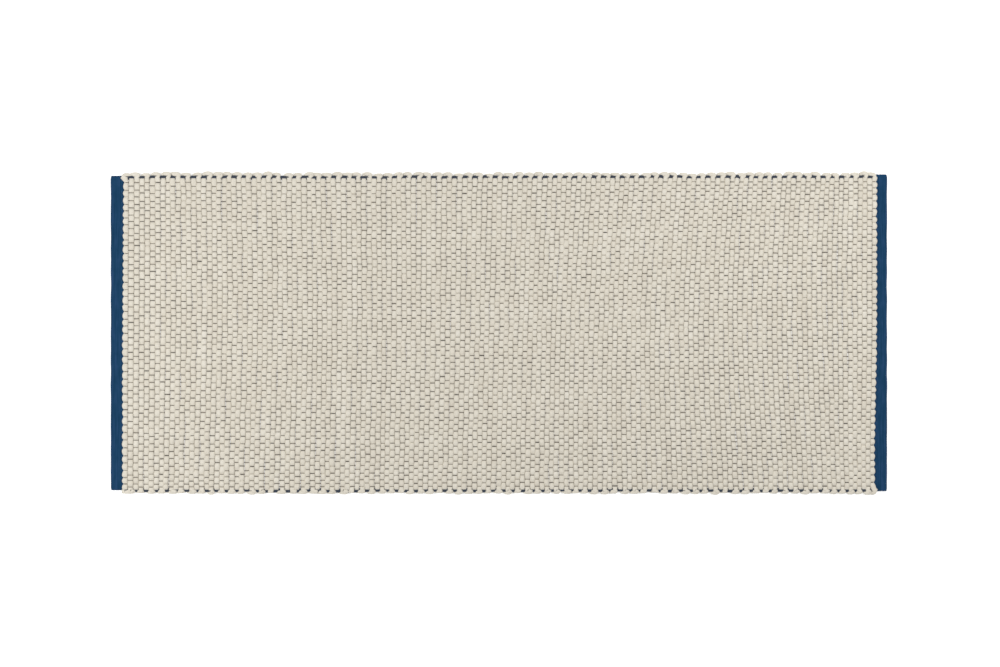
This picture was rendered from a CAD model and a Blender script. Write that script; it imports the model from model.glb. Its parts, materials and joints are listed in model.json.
"""Looks of the runner rug: each yarn of the weave, the selvedge cords, the end tapes and their seams.

The weave is built yarn by yarn. The cream weft is one soft yarn that goes back and forth across the rug. At
each warp end it passes over or under, and the taut thin warp bites into it, so it swells into a pillow
between two bites. At both long edges it turns round a navy selvedge cord. The cloth is cut into pieces
between the middles of neighbouring CAD bands, and each piece bends across the hinge in its own middle.
"""

import json
import math

import bpy
import numpy as np
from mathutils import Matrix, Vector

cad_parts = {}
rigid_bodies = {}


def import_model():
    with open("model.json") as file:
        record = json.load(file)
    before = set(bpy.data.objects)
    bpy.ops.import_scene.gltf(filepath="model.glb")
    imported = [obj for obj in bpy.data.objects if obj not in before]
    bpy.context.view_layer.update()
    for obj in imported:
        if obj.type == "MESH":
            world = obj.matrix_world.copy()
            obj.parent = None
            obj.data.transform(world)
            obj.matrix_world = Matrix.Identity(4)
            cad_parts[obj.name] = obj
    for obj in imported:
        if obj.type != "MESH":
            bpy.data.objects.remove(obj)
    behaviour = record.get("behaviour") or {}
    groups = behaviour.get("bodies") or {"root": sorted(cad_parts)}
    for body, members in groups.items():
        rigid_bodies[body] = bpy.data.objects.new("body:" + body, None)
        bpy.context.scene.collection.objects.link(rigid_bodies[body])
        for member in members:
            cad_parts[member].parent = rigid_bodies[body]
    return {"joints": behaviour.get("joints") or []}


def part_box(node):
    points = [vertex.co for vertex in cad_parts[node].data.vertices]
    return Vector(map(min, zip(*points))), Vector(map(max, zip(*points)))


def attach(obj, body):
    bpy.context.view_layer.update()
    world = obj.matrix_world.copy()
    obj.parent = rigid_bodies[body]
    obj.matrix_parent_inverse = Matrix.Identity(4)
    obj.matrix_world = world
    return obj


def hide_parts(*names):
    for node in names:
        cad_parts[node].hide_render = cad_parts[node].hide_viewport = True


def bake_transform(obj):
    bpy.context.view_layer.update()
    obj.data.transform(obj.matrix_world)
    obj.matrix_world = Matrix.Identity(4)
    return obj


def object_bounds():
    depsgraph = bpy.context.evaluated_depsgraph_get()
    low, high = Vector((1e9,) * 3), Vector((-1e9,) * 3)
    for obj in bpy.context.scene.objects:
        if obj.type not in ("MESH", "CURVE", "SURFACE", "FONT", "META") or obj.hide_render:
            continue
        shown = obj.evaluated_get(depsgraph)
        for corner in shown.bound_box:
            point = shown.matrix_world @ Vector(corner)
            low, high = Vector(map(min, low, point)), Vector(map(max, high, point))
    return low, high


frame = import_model()
CAD_LOW, CAD_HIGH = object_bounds()

# The frame's own sizes
HINGES = [joint["pos_m"][0] for joint in frame["joints"]]
BODIES = [frame["joints"][0]["parent"]] + [joint["child"] for joint in frame["joints"]]
FIELD_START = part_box("weft_band_01")[0].x
FIELD_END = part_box(f"weft_band_{len(BODIES):02d}")[1].x
LENGTH = CAD_HIGH.x - CAD_LOW.x
THICKNESS = CAD_HIGH.z - CAD_LOW.z
MID_Z = THICKNESS / 2
BAND = HINGES[1] - HINGES[0]

# Where the weave lies. A side of -1 is the left or the -Y one, and 1 the right or the +Y one. The outermost
# warp ends are the navy selvedge cords.
PICKS = 153
ENDS = 86
WEAVE_START = FIELD_START + 0.0030
WEAVE_END = FIELD_END + 0.0007
PICK_PITCH = (WEAVE_END - WEAVE_START) / PICKS
CORD_Y = {-1: -0.4048, 1: 0.3998}
OUTER_END_Y = {-1: -0.3950, 1: 0.3874}
HEADING_INSET = 0.0010
LEFT_EDGE_LEAN = 0.0026
LEFT_LEAN_FROM_Y = -0.12
LEFT_LEAN_OVER = 0.5
RIGHT_EDGE_LEAN = 0.0062
RIGHT_LEAN_FROM_Y = 0.08
RIGHT_LEAN_OVER = 0.36
RIGHT_LEAN_CURVE = 1.5
LEAN_FADE = 8
SWAY, OWN_SWAY = 0.0084, 0.0009
END_SWAY, OWN_END_SWAY = 0.0050, 0.0010
END_SWAY_FREE_AT = 0.045
PICKS_TO_FULL_SWAY = (26, 12)
BEAT_SLOPE = 0.040
BEAT_AT_START = 0.05
BEAT_START_FADE = 25
PICK_WIDTH_SPREAD = 0.018
TIGHT_PICKS = 0.05
TIGHT_GIRTH = 0.92
GIRTH_SPREAD = 0.012

# The weft's yarn: a section of rounded corners, which swells and narrows along each pick
PILLOW_TOP = 0.0053
BITE_DEPTH = 0.0045
BITE_SHARPNESS = 2.8
WEFT_WIDE = 0.0069
WEFT_NARROW = 0.0064
NARROW_AT_CORD = 0.10
CLEAR_OF_CORD = 0.02
PLUMP_HEIGHT = 0.00035
PLUMP_WIDTH = 0.03
WEFT_SIDES = 10
SQUARE_ACROSS = 0.66
SQUARE_UPWARD = 0.90
STEPS_BETWEEN_ENDS = (0.0, 0.08, 0.24, 0.5, 0.76, 0.92)
YARN_TWIST = 2 * math.pi / 0.045
FIBRE_RADIUS = 0.005
PICK_TONE, TONE_DRIFT = 0.25, 0.4

# The first and the last pick have no neighbour on their outer side: they bulge there, most at one corner
OUTER_BULGE = 0.0012
OUTER_NARROWING = 0.16
CORNER_BULGE = 0.0058
CORNER_SWELL = 0.0022
CORNER_MIDDLE = 0.004
CORNER_REACH = 0.011
LAST_FLOAT_BOW = 0.35

WARP_RADIUS = 0.00125
WARP_LIFT = 0.0012
WARP_LIFT_SPREAD = 0.25
WARP_SIDES = 6
WARP_LOW = -0.0034
WARP_TWIST = 2 * math.pi / 0.006

# Selvedge cords: strands side by side, each with its place outwards and its height
STRAND_RADIUS = 0.0021
STRANDS = ((-0.0032, -0.0014), (0.0, 0.0), (0.0032, -0.0004))
STRANDS_OUT = {-1: -0.0004, 1: 0.0000}
CORD_LIFT = 0.0010
CORD_WOBBLE = 0.0007
CORD_SIDES = 8
CORD_TWIST = 2 * math.pi / 0.012

# The weft's loops round the selvedge cords
LOOP_RADIUS = 0.0050
LOOP_WAIST = 0.0041
LOOP_HEIGHT = 0.0034
LOOP_END_HEIGHT = 0.0028
LOOP_STEPS = 14
LOOP_OUT = 0.0072
LOOP_REACH = {-1: 0.63, 1: 1.19}
LOOP_LEAN = {-1: 0.30, 1: 0.05}
LOOP_SPREAD = 0.16
LOOP_DROP_SPREAD = 0.0004
LOOP_PLUMPNESS_SPREAD = 0.10
FIRST_LOOP_LEAN = -1.15
LAST_LOOP_LEAN = -0.35
TAIL_HALF_WIDTH = 0.0034
TAIL_HALF_HEIGHTS = (0.0030, 0.0022)

# End tapes: cotton tape folded lengthwise round the bare warp, and stitched near its inner edge
TAPE_CLOTH = 0.0012
TAPE_GAP_BELOW = 0.0004
TAPE_CREST = 0.0047
TAPE_ENDS_Y = {-1: (-0.4051, 0.4044), 1: (-0.4075, 0.4080)}
TAPE_UNDER_WEAVE = {-1: 0.0065, 1: 0.0034}
TAPE_ROWS = 440
TAPE_LIP = 0.0005
TAPE_UNEVENNESS = 0.00018
CORNER_ROUNDING = 0.0016
CORNER_ROUNDING_OVER = 0.0045
FOLD_WANDER = 0.00035
FOLD_WANDER_OVER = 0.012
END_FLATTENING = 0.25
END_FLATTENING_OVER = 0.003
END_WANDER = 0.0003
SEAM_FROM_INNER_EDGE = 0.0062
SEAM_FROM_ENDS = 0.006
SEAM_PULL = 0.00055
SEAM_PULL_OVER = 0.0022
STITCH_PITCH = 0.0092
STITCH_LENGTH = 0.0056
STITCH_RADIUS = 0.00048
STITCH_SIDES = 6
STITCH_DIP = 0.00045
STITCH_SHARES = (-1.0, -0.86, -0.5, 0.0, 0.5, 0.86, 1.0)
THREAD_TWIST = 2 * math.pi / 0.002
WARP_TAIL_RADIUS = 0.0009
WARP_TAIL_HEIGHT = 0.0026
WARP_TAIL_FROM_FOLD = (0.004, 0.007)
WARP_TAIL_SIDE_ROOM = 0.002
WARP_TAIL_BEND = 0.0007

# Studio
RUG_SHARE_OF_FRAME = 0.7769
FLOOR_REACH = 12.0
SOFTBOXES = (("softbox_left", (-2.5, -0.1, 2.8), 77), ("softbox_right", (1.7, 0.9, 2.8), 61))
SOFTBOX_SIZE = 1.7

SEED = 41


def ripple(seed, wave_x, wave_y, count=7):
    """A smooth random surface of unit height: sine waves in all directions, of about these wavelengths."""
    rng = np.random.default_rng(SEED + seed)
    heading = rng.uniform(0, 2 * np.pi, count)
    stretch = rng.uniform(0.6, 1.7, count)
    rate_x = 2 * np.pi * np.cos(heading) / (wave_x * stretch)
    rate_y = 2 * np.pi * np.sin(heading) / (wave_y * stretch)
    phase = rng.uniform(0, 2 * np.pi, count)

    def height(x, y):
        x, y = np.broadcast_arrays(np.asarray(x, float), np.asarray(y, float))
        waves = np.sin(x[..., None] * rate_x + y[..., None] * rate_y + phase)
        return waves.sum(-1) / math.sqrt(count / 2)

    return height


# ---------------------------------------------------------------- mesh helpers


class Tubes:
    """Gathers closed tubes, each a run of rings of the same number of points, for one mesh."""

    def __init__(self, sides):
        self.sides = sides
        self.points, self.quads, self.caps = [], [], []
        self.yarn, self.tone = [], []
        self.count = 0

    def add(self, rings, yarn, tone):
        """rings is (rows, sides, 3), yarn the same for the fibre pattern, and tone one number a row."""
        rows, sides = rings.shape[:2]
        index = self.count + np.arange(rows * sides).reshape(rows, sides)
        after = np.roll(index, -1, axis=1)
        quads = np.stack([index[:-1], index[1:], after[1:], after[:-1]], axis=-1).reshape(-1, 4)
        self.points.append(rings.reshape(-1, 3))
        self.yarn.append(yarn.reshape(-1, 3))
        self.tone.append(np.repeat(tone, sides))
        self.quads.append(quads)
        self.caps.append(np.stack([index[0], index[-1][::-1]]))
        self.count += rows * sides

    def mesh(self, name):
        quads, caps = np.concatenate(self.quads), np.concatenate(self.caps)
        mesh = bpy.data.meshes.new(name)
        points = np.concatenate(self.points)
        mesh.vertices.add(len(points))
        mesh.vertices.foreach_set("co", points.astype(np.float32).ravel())
        corners = np.concatenate([quads.ravel(), caps.ravel()])
        mesh.loops.add(len(corners))
        mesh.loops.foreach_set("vertex_index", corners.astype(np.int32))
        starts = np.concatenate(
            [np.arange(len(quads)) * 4, len(quads) * 4 + np.arange(len(caps)) * self.sides]
        )
        mesh.polygons.add(len(starts))
        mesh.polygons.foreach_set("loop_start", starts.astype(np.int32))
        mesh.update(calc_edges=True)
        mesh.validate()
        mesh.shade_smooth()
        store(mesh, "yarn", "FLOAT_VECTOR", "vector", np.concatenate(self.yarn))
        store(mesh, "tone", "FLOAT", "value", np.concatenate(self.tone))
        return mesh


def store(mesh, name, kind, field, values):
    attribute = mesh.attributes.new(name, kind, "POINT")
    attribute.data.foreach_set(field, np.asarray(values, np.float32).ravel())


def ring_angles(sides):
    return np.arange(sides) * 2 * np.pi / sides


def fibre_space(rings_along, sides, radius, twist):
    """Where each point lies on the straightened, untwisted yarn: the fibre pattern lives there."""
    angle = ring_angles(sides)[None, :] - twist * rings_along[:, None]
    along = np.broadcast_to(rings_along[:, None], angle.shape)
    return np.stack([radius * np.cos(angle), radius * np.sin(angle), along], axis=-1)


def lengths_along(centres):
    steps = np.linalg.norm(np.diff(centres, axis=0), axis=1)
    return np.concatenate([[0.0], np.cumsum(steps)])


def show(name, mesh, look):
    piece = bpy.data.objects.new(name, mesh)
    mesh.materials.append(look)
    bpy.context.scene.collection.objects.link(piece)
    return piece


# ---------------------------------------------------------------- weave layout


def pick_centres():
    """The x of each pick, the width it has and the share its yarn fills. The beat was looser where the
    weaving began, at the left, and a few picks were drawn tighter."""
    rng = np.random.default_rng(SEED)
    place = (np.arange(PICKS) + 0.5) / PICKS
    beat = BEAT_SLOPE * (1 - 2 * place) + BEAT_AT_START * np.exp(-BEAT_START_FADE * place)
    width = 1 + beat + rng.normal(0, PICK_WIDTH_SPREAD, PICKS)
    edges = np.concatenate([[0.0], np.cumsum(width)])
    edges = WEAVE_START + edges / edges[-1] * (WEAVE_END - WEAVE_START)
    tight = rng.random(PICKS) < TIGHT_PICKS
    girth = np.where(tight, TIGHT_GIRTH, 1 + rng.normal(0, GIRTH_SPREAD, PICKS))
    return (edges[1:] + edges[:-1]) / 2, np.diff(edges), girth


PICK_X, PICK_WIDTH, PICK_GIRTH = pick_centres()
INNER_END_Y = np.linspace(OUTER_END_Y[-1], OUTER_END_Y[1], ENDS - 2)
END_Y = np.concatenate([[CORD_Y[-1]], INNER_END_Y, [CORD_Y[1]]])
sway = ripple(1, 1.5, 1.0)
own_sway = ripple(2, 0.11, 0.11)
end_sway = ripple(3, 1.8, 0.8)
own_end_sway = ripple(6, 0.12, 0.09)
plump = ripple(4, 0.035, 0.035)
shade_drift = ripple(5, 0.20, 0.20)
cord_ripple = ripple(9, 0.10, 1.0)
tape_ripple = ripple(7, 0.012, 0.030)
tape_edge = ripple(8, 0.05, 0.05)


def edge_lean(side, y):
    """How far the weave stands in from its place at the left (-1) or the right (1) tape."""
    if side < 0:
        return LEFT_EDGE_LEAN * np.clip((y - LEFT_LEAN_FROM_Y) / LEFT_LEAN_OVER, 0, 1)
    return RIGHT_EDGE_LEAN * np.clip((RIGHT_LEAN_FROM_Y - y) / RIGHT_LEAN_OVER, 0, 1) ** RIGHT_LEAN_CURVE


def pick_x(k, y):
    """The x of pick k at y. The picks sway together, less near the tapes, and each slightly on its own."""
    from_ends = min((k + 0.5) / PICKS_TO_FULL_SWAY[0], (PICKS - k - 0.5) / PICKS_TO_FULL_SWAY[1], 1.0)
    share = (k + 0.5) / PICKS
    lean = edge_lean(-1, y) * (1 - share) ** LEAN_FADE - edge_lean(1, y) * share**LEAN_FADE
    together = SWAY * sway(PICK_X[k], y) * from_ends + lean
    return PICK_X[k] + together + OWN_SWAY * own_sway(40.0 * PICK_X[k], y) * min(1.0, 3 * from_ends)


def end_shift(x, y):
    """How far a warp end strays from its straight line: the selvedge cords hardly at all."""
    from_cord = np.minimum(y - CORD_Y[-1], CORD_Y[1] - y)
    free = np.clip(from_cord / END_SWAY_FREE_AT, 0.06, 1.0)
    return free * (END_SWAY * end_sway(x, y) + OWN_END_SWAY * own_end_sway(x, 40.0 * y))


def over(j, k):
    """1 where pick k passes over warp end j, and -1 where it passes under it."""
    return 2 * ((j + k) % 2) - 1


def pick_rows(k):
    """Rings of pick k from -Y to +Y: centre (x, y, z), half width and half height of each."""
    steps = np.array(STEPS_BETWEEN_ENDS)
    j = np.repeat(np.arange(ENDS - 1), len(steps))
    f = np.tile(steps, ENDS - 1)
    j, f = np.append(j, ENDS - 1), np.append(f, 0.0)
    at_end = END_Y + end_shift(PICK_X[k], END_Y)
    y = at_end[j] + f * (at_end[np.minimum(j + 1, ENDS - 1)] - at_end[j])
    from_crest = np.where(over(j, k) > 0, f, 1 - f)
    from_cord = np.where(j == 0, f, np.where(j == ENDS - 2, 1 - f, np.where(j == ENDS - 1, 0.0, 1.0)))
    beside_cord = (from_cord < 1) & (from_crest > 0.5)
    cleared = np.clip((from_cord - CLEAR_OF_CORD) / (1 - CLEAR_OF_CORD), 0, 1)
    from_crest = np.where(beside_cord, np.maximum(from_crest, 1 - cleared), from_crest)
    if k == PICKS - 1:
        from_crest = np.where(j == 0, LAST_FLOAT_BOW * np.sin(np.pi * f), from_crest)
    swell = PLUMP_HEIGHT * plump(PICK_X[k] * 3.0, y)
    top = PILLOW_TOP + swell - BITE_DEPTH * from_crest**BITE_SHARPNESS
    bottom = -PILLOW_TOP + BITE_DEPTH * (1 - from_crest) ** BITE_SHARPNESS
    x = pick_x(k, y)
    if k in (0, PICKS - 1):
        outward, corner = (-1, CORD_Y[1] - y) if k == 0 else (1, y - CORD_Y[-1])
        at_corner = np.exp(-(((corner + CORNER_MIDDLE) / CORNER_REACH) ** 2))
        x = x + outward * (OUTER_BULGE * (1 - 2 * from_crest**3) + CORNER_BULGE * at_corner)
        half_width = WEFT_WIDE * (1 - OUTER_NARROWING * from_crest**2) + CORNER_SWELL * at_corner
    else:
        between = 1 - np.abs(2 * from_crest - 1)
        half_width = WEFT_WIDE + (WEFT_NARROW - WEFT_WIDE) * between
        half_width = half_width * (1 - NARROW_AT_CORD * (1 - from_cord) ** 1.5)
    own_girth = PICK_GIRTH[k] * (1 + PLUMP_WIDTH * plump(y, PICK_X[k]))
    half_width = half_width * PICK_WIDTH[k] / PICK_PITCH * own_girth
    centre = np.stack([x, y, (top + bottom) / 2], axis=-1)
    return centre, half_width, (top - bottom) / 2


def smooth_path(points, steps):
    """A Catmull-Rom curve through the points, without its first and last."""
    points = np.asarray(points, float)
    padded = np.vstack([2 * points[0] - points[1], points, 2 * points[-1] - points[-2]])
    at = np.linspace(0, len(points) - 1, steps + 2)[1:-1]
    i = np.minimum(at.astype(int), len(points) - 2)
    u = (at - i)[:, None]
    a, b, c, d = padded[i], padded[i + 1], padded[i + 2], padded[i + 3]
    return 0.5 * (2 * b + (c - a) * u + (2 * a - 5 * b + 4 * c - d) * u**2 + (3 * b - a - 3 * c + d) * u**3)


# The turn round a selvedge cord, from the pick that passes under the cord to the one that passes over it:
# share of the way between them, distance outside the cord and height.
TURN = (
    (0.02, 0.0044, -0.0026),
    (0.08, 0.0066, -0.0014),
    (0.42, 0.0073, 0.0002),
    (0.88, 0.0072, 0.0012),
    (1.26, 0.0060, 0.0020),
    (1.20, 0.0036, 0.0026),
)


def turn_rows(k, side, start, end):
    """Rings of the loop from pick k to pick k + 1 outside the selvedge cord, on the +Y or -Y side."""
    rng = np.random.default_rng(SEED + 7 * k + (3 if side > 0 else 5))
    reach = LOOP_REACH[side] + rng.normal(0, LOOP_SPREAD)
    slip = LOOP_LEAN[side] + rng.normal(0, LOOP_SPREAD)
    drop = rng.normal(0, LOOP_DROP_SPREAD)
    plumpness = 1 + rng.normal(0, LOOP_PLUMPNESS_SPREAD)
    under, over_cord = (start, end) if start[2] < end[2] else (end, start)
    way = over_cord[0] - under[0]
    if k == PICKS - 2:
        slip += LAST_LOOP_LEAN
    points = []
    for share, out, z in TURN:
        loose = out / LOOP_OUT
        if k == 0:
            share += FIRST_LOOP_LEAN * max(0.0, 1 - share)
        x = under[0] + (share + slip * loose) * way
        points.append((x, CORD_Y[side] + side * out * (1 + (reach - 1) * loose), z + drop * loose))
    if start[2] > end[2]:
        points.reverse()
    centre = smooth_path([start, *points, end], LOOP_STEPS)
    middle = np.sin(np.linspace(0, np.pi, LOOP_STEPS + 2)[1:-1])
    half_width = LOOP_WAIST + (LOOP_RADIUS * plumpness - LOOP_WAIST) * middle**0.7
    half_height = LOOP_END_HEIGHT + (LOOP_HEIGHT - LOOP_END_HEIGHT) * middle
    return centre, half_width, half_height


# The turn of the weft's own end: share of a pick along, and distance outside the cord.
TAIL = ((0.00, 0.0036), (0.10, 0.0062), (0.50, 0.0074), (1.00, 0.0066), (1.20, 0.0040), (1.20, 0.0008))


def tail_rows(at_cord, side, way):
    """Rings of the weft's own end: it turns round the cord, runs back beside it and is tucked in."""
    points = [
        (at_cord[0] + way * share * PICK_PITCH, CORD_Y[side] + side * out, at_cord[2] * (1 - 1.3 * share))
        for share, out in TAIL
    ]
    tucked = points[-1] + np.array((0, -side * 0.002, -0.0004))
    centre = smooth_path([at_cord, *points, tucked], LOOP_STEPS)
    fade = np.linspace(0, 1, LOOP_STEPS)
    half_width = WEFT_NARROW + (TAIL_HALF_WIDTH - WEFT_NARROW) * fade**0.5
    half_height = TAIL_HALF_HEIGHTS[0] + (TAIL_HALF_HEIGHTS[1] - TAIL_HALF_HEIGHTS[0]) * fade
    return centre, half_width, half_height


def weft_run(first, last, tubes):
    """The weft from pick first to pick last and round the turn after it, as one closed tube."""
    pick_tone = PICK_TONE * np.random.default_rng(SEED + 1000).normal(0, 1, PICKS + 1)
    rows = {k: pick_rows(k) for k in range(first, min(last + 2, PICKS))}
    parts = []
    if first == 0:
        centre, wide, high = tail_rows(rows[0][0][-1], 1, 1)
        parts.append((centre[::-1], wide[::-1], high[::-1], np.full(len(centre), pick_tone[0])))
    for k in range(first, last + 1):
        forward = k % 2 == 1
        centre, wide, high = rows[k]
        if not forward:
            centre, wide, high = centre[::-1], wide[::-1], high[::-1]
        tone = pick_tone[k] + TONE_DRIFT * shade_drift(centre[:, 0] * 4, centre[:, 1])
        parts.append((centre, wide, high, tone))
        side = 1 if forward else -1
        if k + 1 == PICKS:
            turn = tail_rows(centre[-1], side, -1)
        else:
            following = rows[k + 1][0]
            turn = turn_rows(k, side, centre[-1], following[-1] if forward else following[0])
        parts.append((*turn, np.full(len(turn[0]), pick_tone[k])))
        if k == last and k + 1 < PICKS:
            at = slice(-1, None) if forward else slice(0, 1)
            parts.append((*(part[at] for part in rows[k + 1]), np.full(1, pick_tone[k + 1])))
    centre, wide, high, tone = (np.concatenate(part) for part in zip(*parts))
    travel = np.gradient(centre, axis=0) * (1, 1, 0)
    on_pick = (centre[:, 1] > CORD_Y[-1] + 0.001) & (centre[:, 1] < CORD_Y[1] - 0.001)
    travel[on_pick, 0] = 0
    side = np.cross(travel, (0, 0, 1))
    side /= np.linalg.norm(side, axis=1)[:, None]
    angle = ring_angles(WEFT_SIDES)
    across = np.sign(np.cos(angle)) * np.abs(np.cos(angle)) ** SQUARE_ACROSS
    upward = np.sign(np.sin(angle)) * np.abs(np.sin(angle)) ** SQUARE_UPWARD
    rings = centre[:, None, :] + side[:, None, :] * (wide[:, None] * across)[:, :, None]
    rings[:, :, 2] += MID_Z + high[:, None] * upward
    tubes.add(rings, fibre_space(lengths_along(centre), WEFT_SIDES, FIBRE_RADIUS, YARN_TWIST), tone)


def round_rings(centre, radius, sides):
    """Rings across +X round each centre."""
    angle = ring_angles(sides)
    ring = np.stack([np.zeros(sides), np.cos(angle), np.sin(angle)], axis=-1)
    return centre[:, None, :] + radius * ring[None, :, :]


def between_picks(k, y):
    """The x midway between picks k and k + 1 at y, or of the field's end."""
    if k < 0:
        return WEAVE_START + HEADING_INSET + edge_lean(-1, y)
    if k >= PICKS - 1:
        return WEAVE_END - HEADING_INSET - edge_lean(1, y)
    return (pick_x(k, y) + pick_x(k + 1, y)) / 2


def end_run(j, first, last, lift, tone):
    """Warp end j along picks first to last, bowing over and under them: its centres and tones."""
    y = END_Y[j]
    xs, zs, tones = [between_picks(first - 1, y)], [WARP_LOW if first == 0 else 0.0], [0.0]
    for k in range(first, last + 1):
        here = pick_x(k, y)
        rise = -over(j, k) * lift[j, k]
        before, after = between_picks(k - 1, y), between_picks(k, y)
        xs += [(before + 2 * here) / 3, (2 * here + after) / 3, after]
        zs += [rise, rise, WARP_LOW if k == PICKS - 1 else 0.0]
        tones += [tone[j, k], tone[j, k], 0.0]
    xs, zs = np.array(xs, float), np.array(zs)
    centre = np.stack([xs, y + end_shift(xs, y), zs + MID_Z], axis=-1)
    return centre, np.array(tones)


def warp_run(first, last, tubes):
    """All warp ends inside the selvedge cords, along picks first to last."""
    rng = np.random.default_rng(SEED + 2000)
    lift = WARP_LIFT * (1 + WARP_LIFT_SPREAD * rng.normal(0, 1, (ENDS, PICKS)))
    tone = rng.normal(0, 1, (ENDS, PICKS))
    for j in range(1, ENDS - 1):
        centre, tones = end_run(j, first, last, lift, tone)
        rings = round_rings(centre, WARP_RADIUS, WARP_SIDES)
        yarn = fibre_space(centre[:, 0], WARP_SIDES, WARP_RADIUS, WARP_TWIST)
        tubes.add(rings, yarn, tones)


def cord_run(first, last, tubes):
    """The two selvedge cords along picks first to last. Each is three strands side by side."""
    lift = np.full((ENDS, PICKS), CORD_LIFT)
    for side, j in ((-1, 0), (1, ENDS - 1)):
        for offset, height in STRANDS:
            centre, tones = end_run(j, first, last, lift, 0 * lift)
            wobble = CORD_WOBBLE * cord_ripple(centre[:, 0], 2.0 * side)
            centre[:, 1] += side * (offset + STRANDS_OUT[side]) + wobble
            centre[:, 2] += height
            rings = round_rings(centre, STRAND_RADIUS, CORD_SIDES)
            yarn = fibre_space(centre[:, 0], CORD_SIDES, STRAND_RADIUS, CORD_TWIST)
            tubes.add(rings, yarn, tones)


# ---------------------------------------------------------------- end tapes


def tape_section(width):
    """The tape's centreline across, from its upper inner edge round the fold to its lower inner edge.
    Rows are distance from the fold's outside, height, the outward normal, and 1 on the upper leaf."""
    low = TAPE_GAP_BELOW + TAPE_CLOTH / 2
    fold = (TAPE_CREST - TAPE_CLOTH / 2 - low) / 2
    edge = TAPE_CLOTH / 2
    upper = [(d, low + 2 * fold, 0, 1, 1) for d in np.linspace(width - edge, fold + edge, 22)]
    turn = [
        (edge + fold - fold * math.sin(a), low + fold + fold * math.cos(a), -math.sin(a), math.cos(a), 0)
        for a in np.linspace(0, np.pi, 10)[1:-1]
    ]
    lower = [(d, low, 0, -1, 0) for d in np.linspace(fold + edge, width - edge, 10)]
    return np.array(upper + turn + lower)


def tape_sag(inward, y, width):
    """How far the upper leaf lies above its level: pulled down by each stitch, and gently uneven."""
    from_seam = inward - (width - SEAM_FROM_INNER_EDGE)
    at_stitch = 0.55 + 0.45 * np.cos(2 * np.pi * y / STITCH_PITCH)
    pull = SEAM_PULL * np.exp(-((from_seam / SEAM_PULL_OVER) ** 2)) * at_stitch
    lip = TAPE_LIP * np.clip(from_seam / 0.005, 0, 1)
    return lip - pull + TAPE_UNEVENNESS * tape_ripple(inward, y)


def tape_mesh(name, side, outer_x, width):
    """The folded tape as one closed cloth of its full thickness. side is -1 for the left tape."""
    section = tape_section(width)
    low_y, high_y = TAPE_ENDS_Y[side]
    spread = np.linspace(0, 1, TAPE_ROWS)
    ys = low_y + (high_y - low_y) * spread
    from_end = np.minimum(ys - low_y, high_y - ys)
    inward, height, normal_in, normal_up, is_upper = (section[:, i][None, :] for i in range(5))
    across = np.concatenate([[0], np.cumsum(np.hypot(np.diff(section[:, 0]), np.diff(section[:, 1])))])
    near_fold = np.clip(1 - inward / FOLD_WANDER_OVER, 0, 1)
    edge_in = CORNER_ROUNDING * np.exp(-((from_end / CORNER_ROUNDING_OVER) ** 2))
    edge_in = edge_in + FOLD_WANDER * (1 + tape_edge(0.0, ys) * 0.8)
    press = 1 - END_FLATTENING * np.exp(-from_end / END_FLATTENING_OVER)
    faces = []
    for out in (TAPE_CLOTH / 2, -TAPE_CLOTH / 2):
        d = inward + out * normal_in + near_fold * edge_in[:, None]
        if side > 0:
            d = d + edge_lean(1, ys)[:, None] * np.clip(inward / width, 0, 1) ** 2
        z = height + out * normal_up + is_upper * tape_sag(inward, ys[:, None], width)
        z = TAPE_GAP_BELOW + (z - TAPE_GAP_BELOW) * press[:, None]
        y = ys[:, None] + END_WANDER * tape_edge(40 * inward, side)
        faces.append(np.stack([outer_x - side * d, y, z], axis=-1))
    rows, count = faces[0].shape[:2]
    loop = np.concatenate([faces[0], faces[1][:, ::-1]], axis=1)
    index = np.arange(loop.shape[0] * loop.shape[1]).reshape(rows, 2 * count)
    after = np.roll(index, -1, axis=1)
    quads = np.stack([index[:-1], index[1:], after[1:], after[:-1]], axis=-1).reshape(-1, 4)
    caps = []
    for row, step in ((index[0], 1), (index[-1], -1)):
        inside = row[count:][::-1]
        caps += [(row[i], row[i + 1], inside[i + 1], inside[i])[::step] for i in range(count - 1)]
    quads = np.concatenate([quads, np.array(caps)])
    if side > 0:
        quads = quads[:, ::-1]
    mesh = bpy.data.meshes.new(name)
    mesh.from_pydata(loop.reshape(-1, 3).tolist(), [], quads.tolist())
    mesh.validate()
    mesh.shade_smooth()
    cloth = np.zeros((rows, 2 * count, 3))
    cloth[:, :, 0] = np.concatenate([across, across[::-1]])
    cloth[:, :, 1] = ys[:, None]
    store(mesh, "cloth", "FLOAT_VECTOR", "vector", cloth.reshape(-1, 3))
    return mesh


def stitch_rings(middle, tilt, flip):
    """Rings of one stitch lying along Y with both ends dipping into the cloth."""
    rings = []
    for share in STITCH_SHARES:
        radius = STITCH_RADIUS * math.sqrt(max(1 - abs(share) ** 4, 0.02))
        dip = flip * STITCH_DIP * abs(share) ** 3
        y = share * STITCH_LENGTH / 2
        rings.append(
            [
                (tilt * share + radius * math.cos(a), y, radius * math.sin(a) - dip)
                for a in ring_angles(STITCH_SIDES)
            ]
        )
    return np.array(middle) + np.array(rings)


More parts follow.
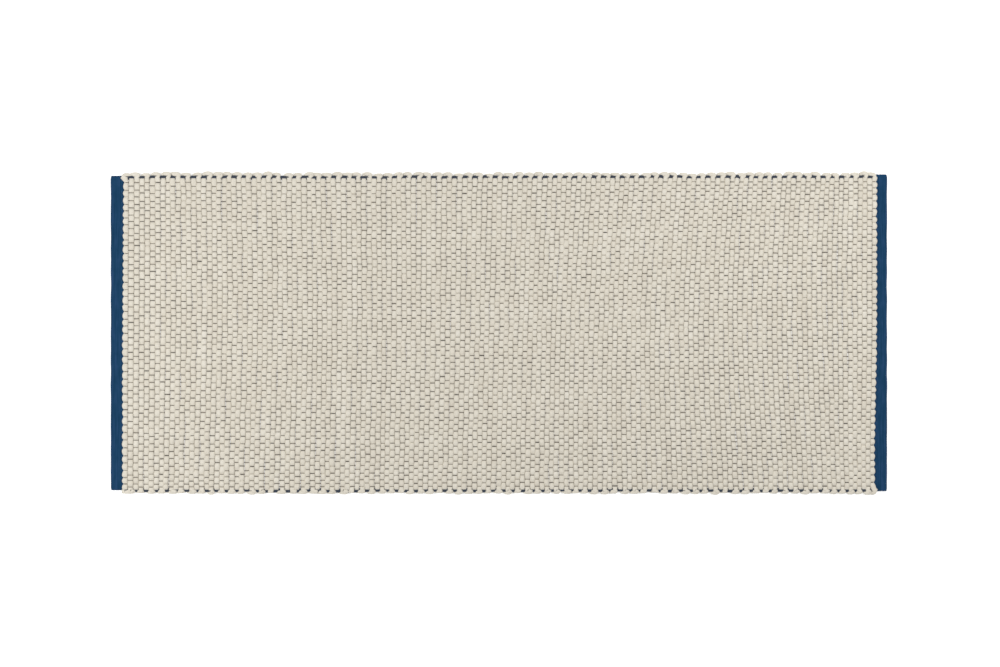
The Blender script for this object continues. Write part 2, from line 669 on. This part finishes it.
def stitches(side, outer_x, width, tubes):
    """The seam through both leaves of a tape: a row of stitches above and the same row below."""
    rng = np.random.default_rng(SEED + 3000 + side)
    low_y, high_y = TAPE_ENDS_Y[side]
    seam = width - SEAM_FROM_INNER_EDGE
    count = int((high_y - low_y - 2 * SEAM_FROM_ENDS) / STITCH_PITCH)
    first = (high_y + low_y) / 2 - (count - 1) / 2 * STITCH_PITCH
    for i in range(count):
        y = first + i * STITCH_PITCH + rng.normal(0, 0.0003)
        inward = seam + (edge_lean(1, y) * (seam / width) ** 2 if side > 0 else 0.0)
        x = outer_x - side * inward + rng.normal(0, 0.00022)
        top = TAPE_CREST + tape_sag(seam, y + STITCH_PITCH / 2, width) + 0.00012
        for z, flip in ((top, 1), (TAPE_GAP_BELOW + 0.0001, -1)):
            rings = stitch_rings((x, y, z), rng.normal(0, 0.0003), flip)
            along = np.linspace(0, STITCH_LENGTH, len(STITCH_SHARES)) + i
            yarn = fibre_space(along, STITCH_SIDES, STITCH_RADIUS, THREAD_TWIST)
            tubes.add(rings, yarn, np.full(len(STITCH_SHARES), rng.normal(0, 1)))


def warp_tails(side, outer_x, tubes):
    """The warp's bare ends inside the fold of a tape."""
    rng = np.random.default_rng(SEED + 4000 + side)
    lowest, highest = TAPE_ENDS_Y[side]
    for j in range(1, ENDS - 1):
        start = between_picks(-1 if side < 0 else PICKS - 1, END_Y[j])
        y = END_Y[j] + end_shift(start, END_Y[j])
        end = outer_x - side * rng.uniform(*WARP_TAIL_FROM_FOLD)
        xs = np.linspace(start, end, 5)
        bend_y = rng.normal(0, WARP_TAIL_BEND) * np.linspace(0, 1, 5) ** 2
        ys = np.clip(y + bend_y, lowest + WARP_TAIL_SIDE_ROOM, highest - WARP_TAIL_SIDE_ROOM)
        zs = np.array([MID_Z + WARP_LOW, *[WARP_TAIL_HEIGHT] * 3, WARP_TAIL_HEIGHT - 0.0001])
        centre = np.stack([xs, ys, zs], axis=-1)
        if side > 0:
            centre = centre[::-1]
        rings = round_rings(centre[::-1], WARP_TAIL_RADIUS, WARP_SIDES)
        yarn = fibre_space(xs, WARP_SIDES, WARP_TAIL_RADIUS, WARP_TWIST)
        tubes.add(rings, yarn, np.zeros(5))


# ---------------------------------------------------------------- materials


class Look:
    """A material's nodes, with a short way to add and join them."""

    def __init__(self, name, roughness, sheen=0.0):
        self.material = bpy.data.materials.new(name)
        self.material.use_nodes = True
        self.nodes = self.material.node_tree.nodes
        self.links = self.material.node_tree.links
        self.shader = self.nodes["Principled BSDF"]
        self.shader.inputs["Roughness"].default_value = roughness
        self.shader.inputs["Sheen Weight"].default_value = sheen
        self.shader.inputs["Sheen Roughness"].default_value = 0.6
        self.shader.inputs["Specular IOR Level"].default_value = 0.25

    def node(self, kind, **settings):
        made = self.nodes.new(kind)
        for name, value in settings.items():
            setattr(made, name, value)
        return made

    def attribute(self, name):
        return self.node("ShaderNodeAttribute", attribute_name=name)

    def mapped(self, source, scale):
        made = self.node("ShaderNodeMapping")
        made.inputs["Scale"].default_value = scale
        self.links.new(source, made.inputs["Vector"])
        return made.outputs["Vector"]

    def noise(self, vector, scale, detail=3.0, roughness=0.55):
        made = self.node("ShaderNodeTexNoise")
        made.inputs["Scale"].default_value = scale
        made.inputs["Detail"].default_value = detail
        made.inputs["Roughness"].default_value = roughness
        self.links.new(vector, made.inputs["Vector"])
        return made.outputs["Fac"]

    def ramp(self, source, *stops):
        made = self.node("ShaderNodeValToRGB")
        elements = made.color_ramp.elements
        while len(elements) < len(stops):
            elements.new(0.5)
        for element, (place, colour) in zip(elements, stops):
            element.position = place
            element.color = (*colour, 1.0)
        self.links.new(source, made.inputs["Fac"])
        return made.outputs["Color"]

    def math(self, operation, a, b):
        made = self.node("ShaderNodeMath", operation=operation)
        for socket, value in zip(made.inputs, (a, b)):
            if isinstance(value, (int, float)):
                socket.default_value = value
            else:
                self.links.new(value, socket)
        return made.outputs["Value"]

    def mix(self, kind, factor, a, b):
        made = self.node("ShaderNodeMix", data_type="RGBA", blend_type=kind)
        for name, value in (("Factor", factor), ("A", a), ("B", b)):
            socket = next(s for s in made.inputs if s.name == name and s.enabled)
            if isinstance(value, (int, float)):
                socket.default_value = value
            else:
                self.links.new(value, socket)
        return next(s for s in made.outputs if s.enabled)

    def bump(self, height, distance, strength=1.0, under=None):
        made = self.node("ShaderNodeBump")
        made.inputs["Distance"].default_value = distance
        made.inputs["Strength"].default_value = strength
        self.links.new(height, made.inputs["Height"])
        if under is not None:
            self.links.new(under, made.inputs["Normal"])
        return made.outputs["Normal"]

    def finish(self, colour, normal):
        self.links.new(colour, self.shader.inputs["Base Color"])
        self.links.new(normal, self.shader.inputs["Normal"])
        return self.material


def wool_look():
    """Cream wool: long fibres that follow the yarn's twist, slow changes of shade and a soft fuzz."""
    look = Look("cream_wool", 0.95, sheen=0.25)
    yarn = look.attribute("yarn").outputs["Vector"]
    fibres = look.noise(look.mapped(yarn, (1.0, 1.0, 0.16)), 1500.0, 4.0, 0.65)
    strands = look.noise(look.mapped(yarn, (1.0, 1.0, 0.10)), 420.0, 2.0)
    tone = look.math("MULTIPLY", look.attribute("tone").outputs["Fac"], 0.10)
    clouds = look.noise(look.mapped(yarn, (0.0, 0.0, 1.0)), 22.0, 3.0)
    base = look.ramp(
        look.math("ADD", clouds, tone),
        (0.25, (0.674, 0.622, 0.530)),
        (0.50, (0.723, 0.677, 0.583)),
        (0.75, (0.768, 0.727, 0.642)),
    )
    shaded = look.mix(
        "MULTIPLY", 0.55, base, look.ramp(fibres, (0.30, (0.72, 0.70, 0.66)), (0.58, (1.0, 1.0, 1.0)))
    )
    coarse = look.bump(strands, 0.0011, 0.7)
    fine = look.bump(fibres, 0.00035, 0.8, coarse)
    return look.finish(shaded, fine)


def twisted_look(name, dark, light, roughness=0.9):
    """Cotton yarn: dark and light fibres along its twist."""
    look = Look(name, roughness, sheen=0.1)
    yarn = look.attribute("yarn").outputs["Vector"]
    fibres = look.noise(look.mapped(yarn, (1.0, 1.0, 0.2)), 2500.0, 3.0)
    tone = look.math("MULTIPLY", look.attribute("tone").outputs["Fac"], 0.12)
    colour = look.ramp(look.math("ADD", fibres, tone), (0.32, dark), (0.68, light))
    return look.finish(colour, look.bump(fibres, 0.0004, 0.8))


def tape_look():
    """Navy cotton tape: a fine slanting twill, and streaks of lighter and darker yarns along it."""
    look = Look("navy_cotton_tape", 0.85)
    look.shader.inputs["Specular IOR Level"].default_value = 0.06
    cloth = look.attribute("cloth").outputs["Vector"]
    streaks = look.noise(look.mapped(cloth, (1.0, 0.035, 1.0)), 300.0, 3.0, 0.5)
    patches = look.noise(look.mapped(cloth, (1.0, 0.5, 1.0)), 60.0, 2.0)
    level = look.math("ADD", look.math("MULTIPLY", patches, 0.35), look.math("MULTIPLY", streaks, 0.65))
    colour = look.ramp(
        level,
        (0.36, (0.0070, 0.040, 0.093)),
        (0.50, (0.0100, 0.049, 0.113)),
        (0.64, (0.0200, 0.061, 0.147)),
    )
    twill = look.node("ShaderNodeTexWave", wave_type="BANDS", bands_direction="DIAGONAL")
    look.links.new(look.mapped(cloth, (1.0, 1.0, 0.0)), twill.inputs["Vector"])
    twill.inputs["Scale"].default_value = 240.0
    twill.inputs["Distortion"].default_value = 1.2
    twill.inputs["Detail"].default_value = 2.0
    twill.inputs["Detail Scale"].default_value = 2.0
    ribs = twill.outputs["Fac"]
    shade = look.ramp(ribs, (0.0, (0.55, 0.55, 0.6)), (0.7, (1.0, 1.0, 1.0)))
    shaded = look.mix("MULTIPLY", 0.35, colour, shade)
    lint = look.noise(cloth, 3000.0, 2.0)
    return look.finish(shaded, look.bump(lint, 0.0001, 0.5, look.bump(ribs, 0.00022, 0.7)))


# ---------------------------------------------------------------- studio


def build_studio():
    scene = bpy.context.scene
    scene.view_settings.view_transform = "Standard"
    world = bpy.data.worlds.new("studio")
    world.use_nodes = True
    background = world.node_tree.nodes["Background"]
    background.inputs["Color"].default_value = (0.98, 0.99, 1.0, 1.0)
    background.inputs["Strength"].default_value = 0.41
    scene.world = world

    mesh = bpy.data.meshes.new("studio_floor")
    corners = [(x * FLOOR_REACH, y * FLOOR_REACH, 0) for x, y in ((-1, -1), (1, -1), (1, 1), (-1, 1))]
    mesh.from_pydata(corners, [], [(0, 1, 2, 3)])
    look = Look("pale_floor", 0.9)
    look.shader.inputs["Base Color"].default_value = (0.93, 0.93, 0.93, 1.0)
    look.shader.inputs["Emission Color"].default_value = (1.0, 1.0, 1.0, 1.0)
    look.shader.inputs["Emission Strength"].default_value = 0.35
    floor = show("studio_floor", mesh, look.material)
    floor.location.z = CAD_LOW.z - 0.0002

    for name, place, power in SOFTBOXES:
        light = bpy.data.lights.new(name, "AREA")
        light.shape = "DISK"
        light.size = SOFTBOX_SIZE
        light.energy = power
        made = bpy.data.objects.new(name, light)
        made.location = place
        scene.collection.objects.link(made)

    camera = bpy.data.cameras.new("camera")
    camera.lens = 85.0
    camera.sensor_width = 36.0
    seen = LENGTH / RUG_SHARE_OF_FRAME
    made = bpy.data.objects.new("camera", camera)
    made.location = (0.0028, -0.0016, seen * camera.lens / camera.sensor_width + THICKNESS / 2)
    scene.collection.objects.link(made)
    scene.camera = made


# ---------------------------------------------------------------- the rug


def pieces_of_cloth():
    """(number, first pick, last pick) of each piece: it reaches from the middle of one band to the next."""
    limits = [x + BAND / 2 for x in HINGES[:-1]]
    firsts = [0] + [int(np.searchsorted(PICK_X, x)) for x in limits]
    lasts = [first - 1 for first in firsts[1:]] + [PICKS - 1]
    return list(zip(range(1, len(HINGES) + 1), firsts, lasts))


def bend(piece):
    """The piece turns smoothly across its own hinge, from the middle of one band to that of the next."""
    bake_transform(piece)


def build_weave():
    wool = wool_look()
    warp = twisted_look("dark_cotton_warp", (0.048, 0.040, 0.031), (0.20, 0.17, 0.135))
    cord = twisted_look("navy_selvedge_cord", (0.014, 0.020, 0.034), (0.060, 0.076, 0.105))
    for number, first, last in pieces_of_cloth():
        for name, look, sides, run in (
            ("weft", wool, WEFT_SIDES, weft_run),
            ("warp", warp, WARP_SIDES, warp_run),
            ("selvedge_cords", cord, CORD_SIDES, cord_run),
        ):
            tubes = Tubes(sides)
            run(first, last, tubes)
            piece = show(f"{name}_{number:02d}", tubes.mesh(f"{name}_{number:02d}"), look)
            bend(piece)
        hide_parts(f"weft_band_{number:02d}")
        if number == len(HINGES):
            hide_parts(f"weft_band_{number + 1:02d}")


def build_tapes():
    cloth = tape_look()
    thread = twisted_look("navy_seam_thread", (0.012, 0.050, 0.115), (0.040, 0.110, 0.220), 0.7)
    tail = twisted_look("dark_cotton_tails", (0.048, 0.040, 0.031), (0.20, 0.17, 0.135))
    for side, name, body in ((-1, "left", BODIES[0]), (1, "right", BODIES[-1])):
        low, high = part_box(f"end_tape_{name}")
        outer_x = low.x if side < 0 else high.x
        width = high.x - low.x + TAPE_UNDER_WEAVE[side]
        tape = show(f"tape_{name}", tape_mesh(f"tape_{name}", side, outer_x, width), cloth)
        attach(tape, body)
        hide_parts(f"end_tape_{name}")
        tubes = Tubes(STITCH_SIDES)
        stitches(side, outer_x, width, tubes)
        seam = show(f"stitches_{name}", tubes.mesh(f"stitches_{name}"), thread)
        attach(seam, body)
        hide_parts(f"seam_thread_{name}")
        tubes = Tubes(WARP_SIDES)
        warp_tails(side, outer_x, tubes)
        tails = show(f"warp_tails_{name}", tubes.mesh(f"warp_tails_{name}"), tail)
        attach(tails, body)
        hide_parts(f"warp_heading_{name}")


build_studio()
build_weave()
build_tapes()
